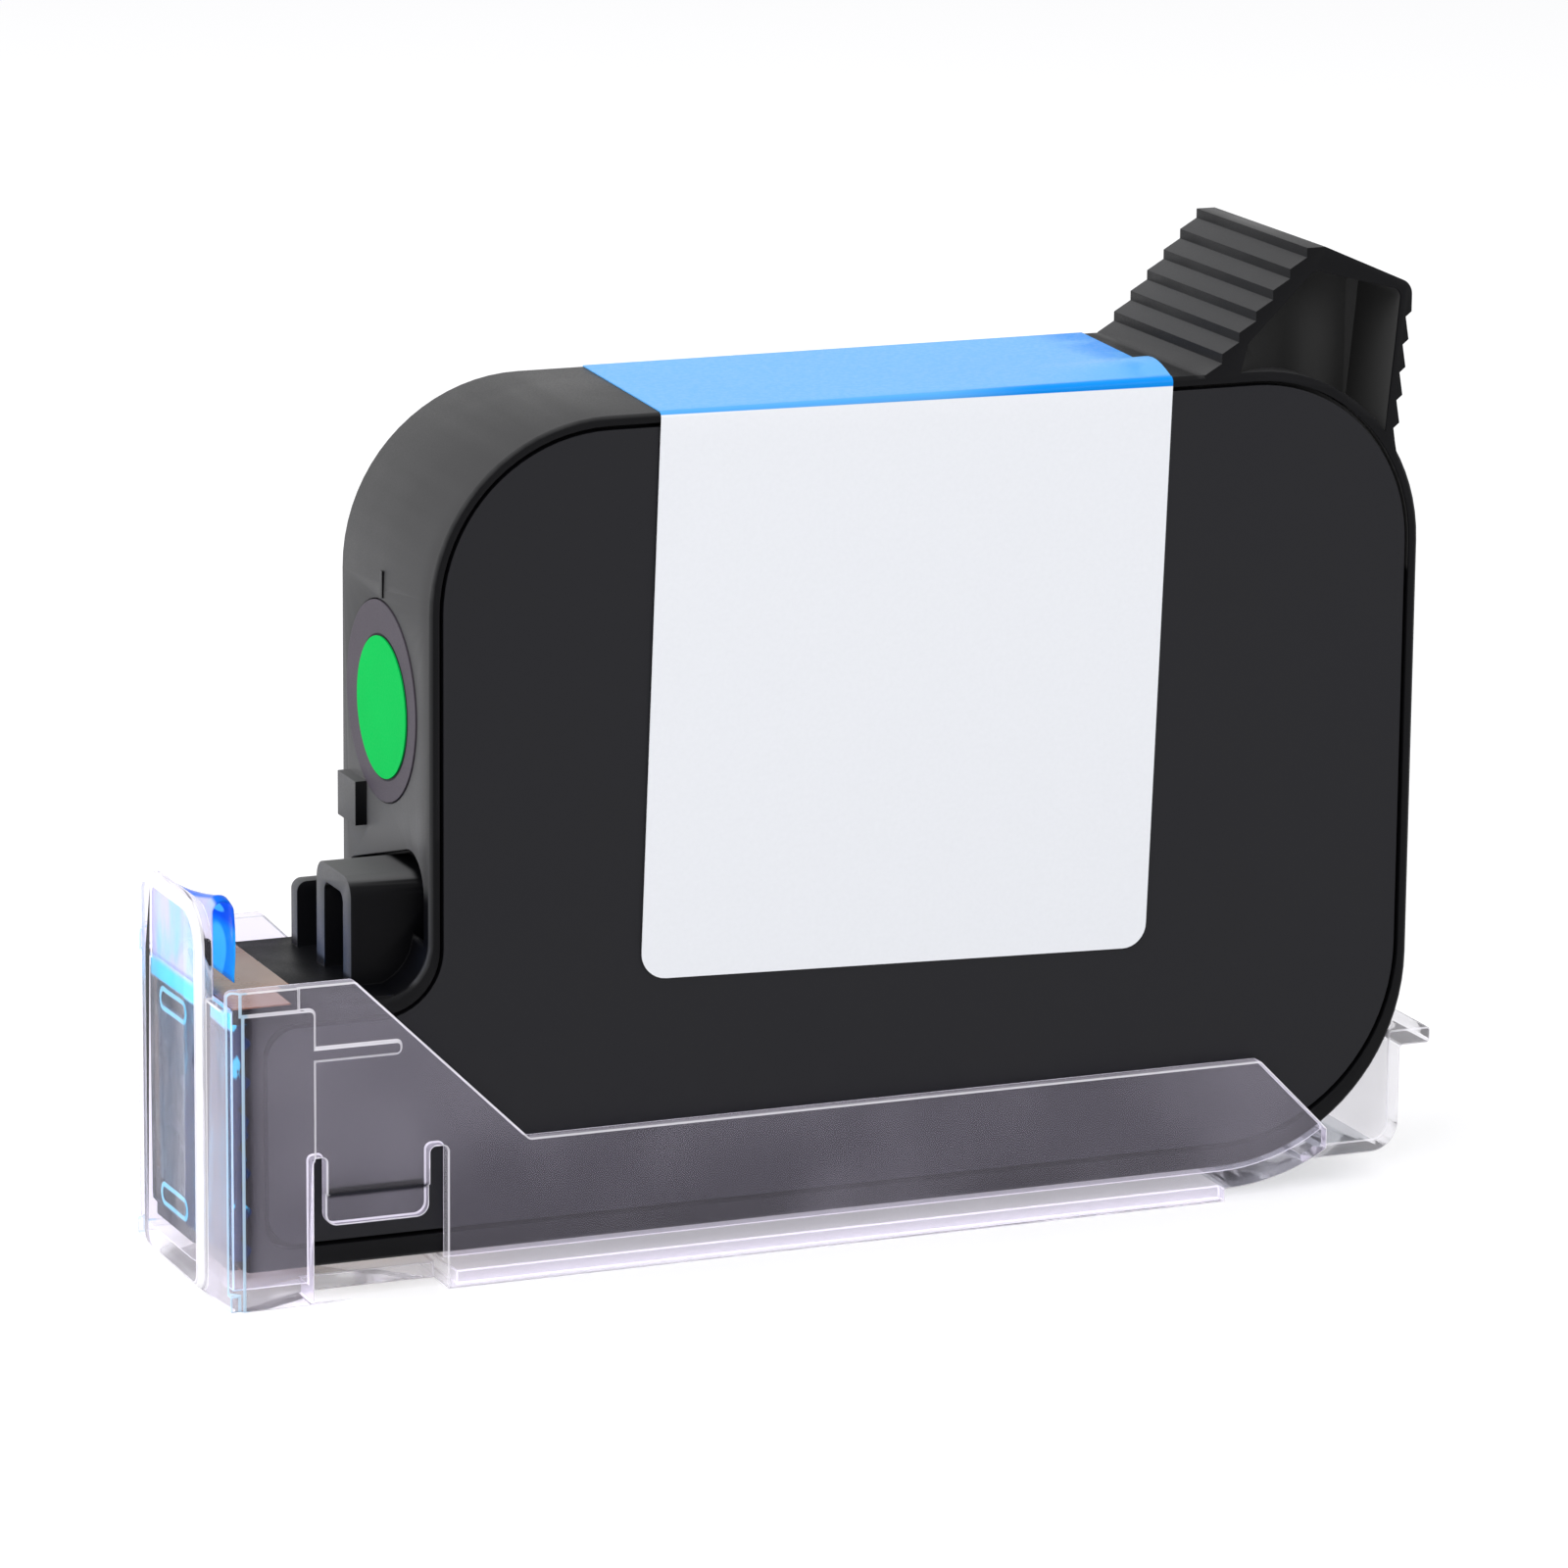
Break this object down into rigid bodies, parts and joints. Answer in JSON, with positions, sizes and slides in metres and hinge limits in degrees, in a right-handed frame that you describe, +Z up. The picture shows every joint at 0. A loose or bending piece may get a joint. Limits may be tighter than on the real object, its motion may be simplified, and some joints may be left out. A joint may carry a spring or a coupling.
{
  "type": "inkjet printer cartridge",
  "caption": "Flat black thermal inkjet cartridge for a date coder, with handle, nozzle snout, wrap label and a clear protective clip on its foot.",
  "frame": {"origin": "on the clip's underside at mid thickness, below the body's end face", "axes": "+X from the nozzles to the handle end, +Y across the thickness away from the labelled side, +Z up to the handle"},
  "size_m": [0.1027, 0.0234, 0.0761],
  "materials": {
    "frame_black": "fine moulded texture, satin black",
    "carrier_grey": "moulded, inside the body",
    "cover_black": "smooth satin black",
    "bag_film": "thin laminated film",
    "plate_steel": "thin stamped steel",
    "screen_steel": "fine woven mesh",
    "window_grey": "smooth dark insert",
    "dot_green": "printed green disc",
    "ball_steel": "polished ball",
    "silicon": "polished chip",
    "nozzle_foil": "grey nozzle foil with two rows of nozzles",
    "bead_resin": "dark sealing resin",
    "flex_amber": "brown foil circuit",
    "pad_gold": "gold plated",
    "label_white": "coated paper: white on the side, blue on the top",
    "tape_blue": "translucent blue film",
    "clip_clear": "clear moulded plastic"
  },
  "bodies": {
    "clip": {"protective_clip": "clip_clear"},
    "cartridge": {"outer_frame": "frame_black", "inner_frame": "carrier_grey", "near_cover": "cover_black", "far_cover": "cover_black", "near_film": "bag_film", "far_film": "bag_film", "bow_spring": "plate_steel", "near_screen": "screen_steel", "far_screen": "screen_steel", "level_window": "window_grey", "level_dot": "dot_green", "fill_ball": "ball_steel", "printhead_chip": "silicon", "nozzle_plate": "nozzle_foil", "encapsulant_beads": "bead_resin", "flex_circuit": "flex_amber", "contact_pads": "pad_gold", "wrap_label": "label_white", "nozzle_tape": "tape_blue"},
    "plate_near": {"near_plate": "plate_steel"},
    "plate_far": {"far_plate": "plate_steel"}
  },
  "joints": [
    {"name": "clip_release", "type": "hinge", "parent": "clip", "child": "cartridge", "pos_m": [-0.01596, 0, 0.0302], "axis": [0, -1, 0], "range_deg": [0, 30]},
    {"name": "near_plate_slide", "type": "slide", "parent": "cartridge", "child": "plate_near", "axis": [0, 1, 0], "range_m": [0, 0.0055], "stiffness_N_per_m": 60, "springref_m": -0.004, "deforming": ["bow_spring", "near_film"]},
    {"name": "far_plate_slide", "type": "slide", "parent": "cartridge", "child": "plate_far", "axis": [0, -1, 0], "range_m": [0, 0.0055], "stiffness_N_per_m": 60, "springref_m": -0.004, "deforming": ["far_film"]}
  ],
  "couplings": [
    {"joint": "far_plate_slide", "follows": "near_plate_slide", "ratio": 1}
  ]
}
